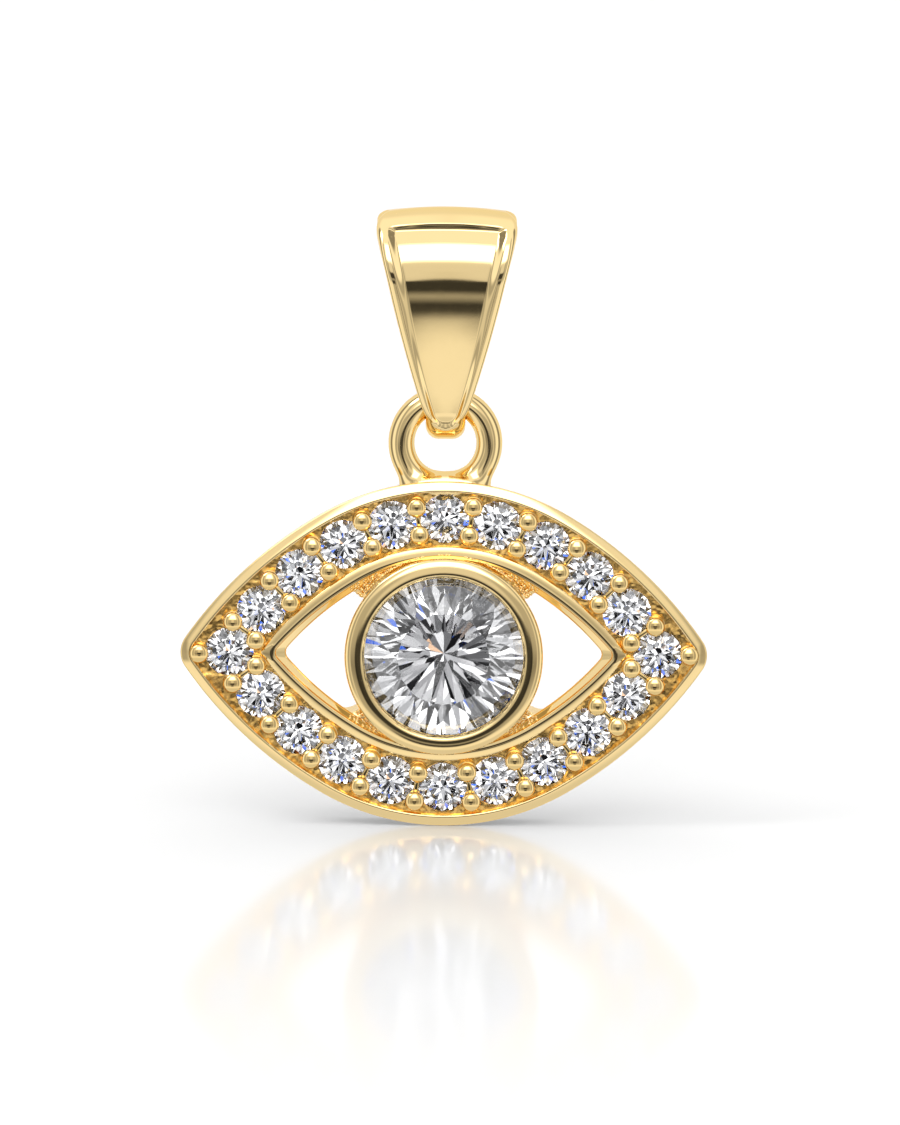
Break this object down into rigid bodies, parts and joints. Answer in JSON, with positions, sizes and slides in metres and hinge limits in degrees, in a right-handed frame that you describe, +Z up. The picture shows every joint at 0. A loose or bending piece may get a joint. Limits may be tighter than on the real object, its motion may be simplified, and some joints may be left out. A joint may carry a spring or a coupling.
{
  "type": "evil eye pendant",
  "caption": "Eye-shaped pendant in yellow gold with a bezel-set round centre stone, a channel of small round stones round the eye, and a tapered bail for a chain.",
  "frame": {"origin": "middle of the inside top of the bail, where it sits on the chain", "axes": "+X runs from tip to tip of the eye, towards the right as seen from the front; +Y points to the back, so the front faces -Y; +Z points up and the pendant hangs down along -Z"},
  "size_m": [0.0162, 0.0038, 0.019],
  "materials": {
    "gold": "polished yellow gold",
    "stone": "clear cut stone, polished facets"
  },
  "bodies": {
    "bail": {"bail": "gold"},
    "eye": {"eye_frame": "gold", "center_stone": "stone", "accent_stone_01": "stone", "accent_stone_02": "stone", "accent_stone_03": "stone", "accent_stone_04": "stone", "accent_stone_05": "stone", "accent_stone_06": "stone", "accent_stone_07": "stone", "accent_stone_08": "stone", "accent_stone_09": "stone", "accent_stone_10": "stone", "accent_stone_11": "stone", "accent_stone_12": "stone", "accent_stone_13": "stone", "accent_stone_14": "stone", "accent_stone_15": "stone", "accent_stone_16": "stone", "accent_stone_17": "stone", "accent_stone_18": "stone", "accent_stone_19": "stone", "accent_stone_20": "stone"}
  },
  "joints": [
    {"name": "eye_swing", "type": "hinge", "parent": "bail", "child": "eye", "pos_m": [0, 0, -0.00539], "axis": [1, 0, 0], "range_deg": [-90, 90]}
  ]
}
